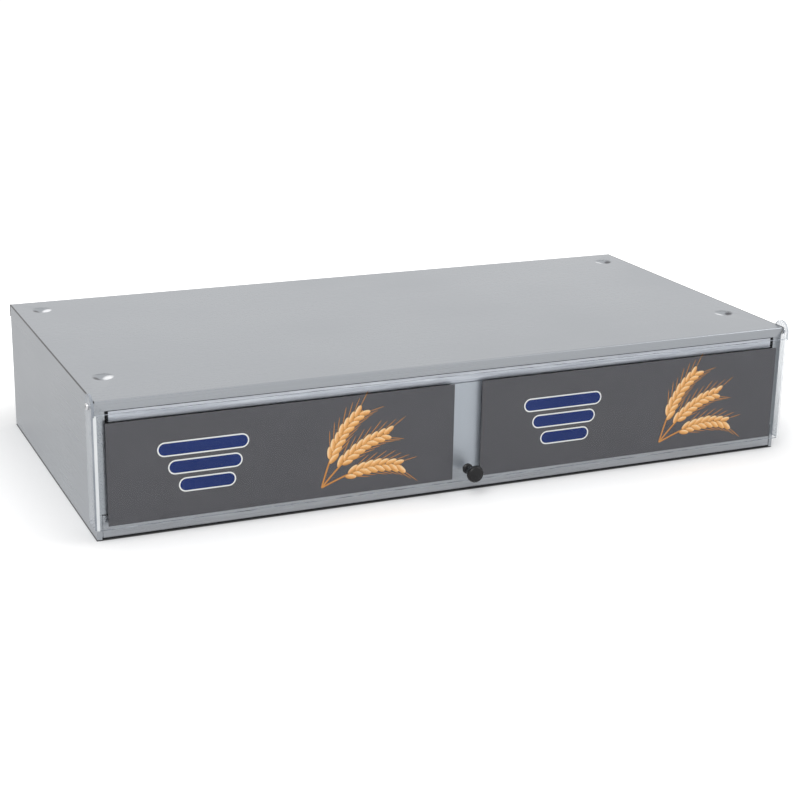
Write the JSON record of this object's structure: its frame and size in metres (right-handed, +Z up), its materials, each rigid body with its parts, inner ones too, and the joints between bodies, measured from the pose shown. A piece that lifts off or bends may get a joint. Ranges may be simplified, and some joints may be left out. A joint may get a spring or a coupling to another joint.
{
  "type": "hot dog bun warmer",
  "caption": "Low stainless countertop bun warmer with a clear flip-up front door, lift-out bun trays on a heated deck, and rear thermostat and power switch.",
  "frame": {"origin": "on the counter, under the middle of the warmer", "axes": "+X along the width, to the right as seen from the door; +Y to the back with the controls; +Z up"},
  "size_m": [0.9136, 0.5039, 0.171],
  "materials": {
    "stainless": "fine brushed stainless sheet",
    "zinc_hardware": "bright plated",
    "clear_sheet": "clear bent plastic sheet",
    "graphic_film": "dark grey printed film behind the clear sheet",
    "black_plastic": "moulded, semi-gloss",
    "rubber": "matte",
    "white_nylon": "natural",
    "heater_sheath": "heat-dulled sheath",
    "insulation": "mineral wool mat",
    "copper": "drawn tube",
    "beige_moulding": "phenolic and ceramic",
    "dial_print": "printed plate",
    "amber_lens": "translucent",
    "wire_cover": "heat-proof sleeve"
  },
  "bodies": {
    "cabinet": {"base_pan": "stainless", "left_side_panel": "stainless", "right_side_panel": "stainless", "rear_panel": "stainless", "top_plate": "stainless", "top_front_rail": "stainless", "centre_mullion": "stainless", "top_brace": "stainless", "inner_back_panel": "stainless", "heater_deck": "stainless", "deck_insulation": "insulation", "heating_element": "heater_sheath", "element_clips": "zinc_hardware", "thermostat_bulb": "copper", "bulb_clips": "zinc_hardware", "tray_guides": "stainless", "door_bumpers": "rubber", "hinge_pins": "zinc_hardware", "hinge_washers": "white_nylon", "hinge_nuts": "zinc_hardware", "rubber_feet": "rubber", "control_plate": "stainless", "thermostat_body": "beige_moulding", "thermostat_screws": "zinc_hardware", "thermostat_dial": "dial_print", "power_switch_body": "black_plastic", "pilot_light_body": "black_plastic", "pilot_light_lens": "amber_lens", "high_limit_cutout": "beige_moulding", "terminal_block": "beige_moulding", "earth_stud": "zinc_hardware", "cord_gland": "black_plastic", "gland_locknut": "black_plastic", "wiring_harness": "wire_cover", "rear_panel_screws": "zinc_hardware", "control_plate_screws": "zinc_hardware"},
    "door": {"clear_door": "clear_sheet", "left_graphic_panel": "graphic_film", "right_graphic_panel": "graphic_film", "door_knob": "black_plastic", "door_knob_screw": "zinc_hardware"},
    "left_tray": {"left_bun_tray": "stainless"},
    "right_tray": {"right_bun_tray": "stainless"},
    "thermostat_control": {"thermostat_knob": "black_plastic"},
    "power_switch": {"power_switch_rocker": "black_plastic"}
  },
  "joints": [
    {"name": "door_hinge", "type": "hinge", "parent": "cabinet", "child": "door", "pos_m": [0, -0.215, 0.157], "axis": [-1, 0, 0], "range_deg": [0, 180]},
    {"name": "left_tray_slide", "type": "slide", "parent": "cabinet", "child": "left_tray", "axis": [0, -1, 0], "range_m": [0, 0.038]},
    {"name": "right_tray_slide", "type": "slide", "parent": "cabinet", "child": "right_tray", "axis": [0, -1, 0], "range_m": [0, 0.038]},
    {"name": "thermostat_turn", "type": "hinge", "parent": "cabinet", "child": "thermostat_control", "pos_m": [0.315, 0.223, 0.086], "axis": [0, -1, 0], "range_deg": [0, 270]},
    {"name": "power_rocker", "type": "hinge", "parent": "cabinet", "child": "power_switch", "pos_m": [0.24, 0.22, 0.086], "axis": [-1, 0, 0], "range_deg": [0, 18]}
  ]
}
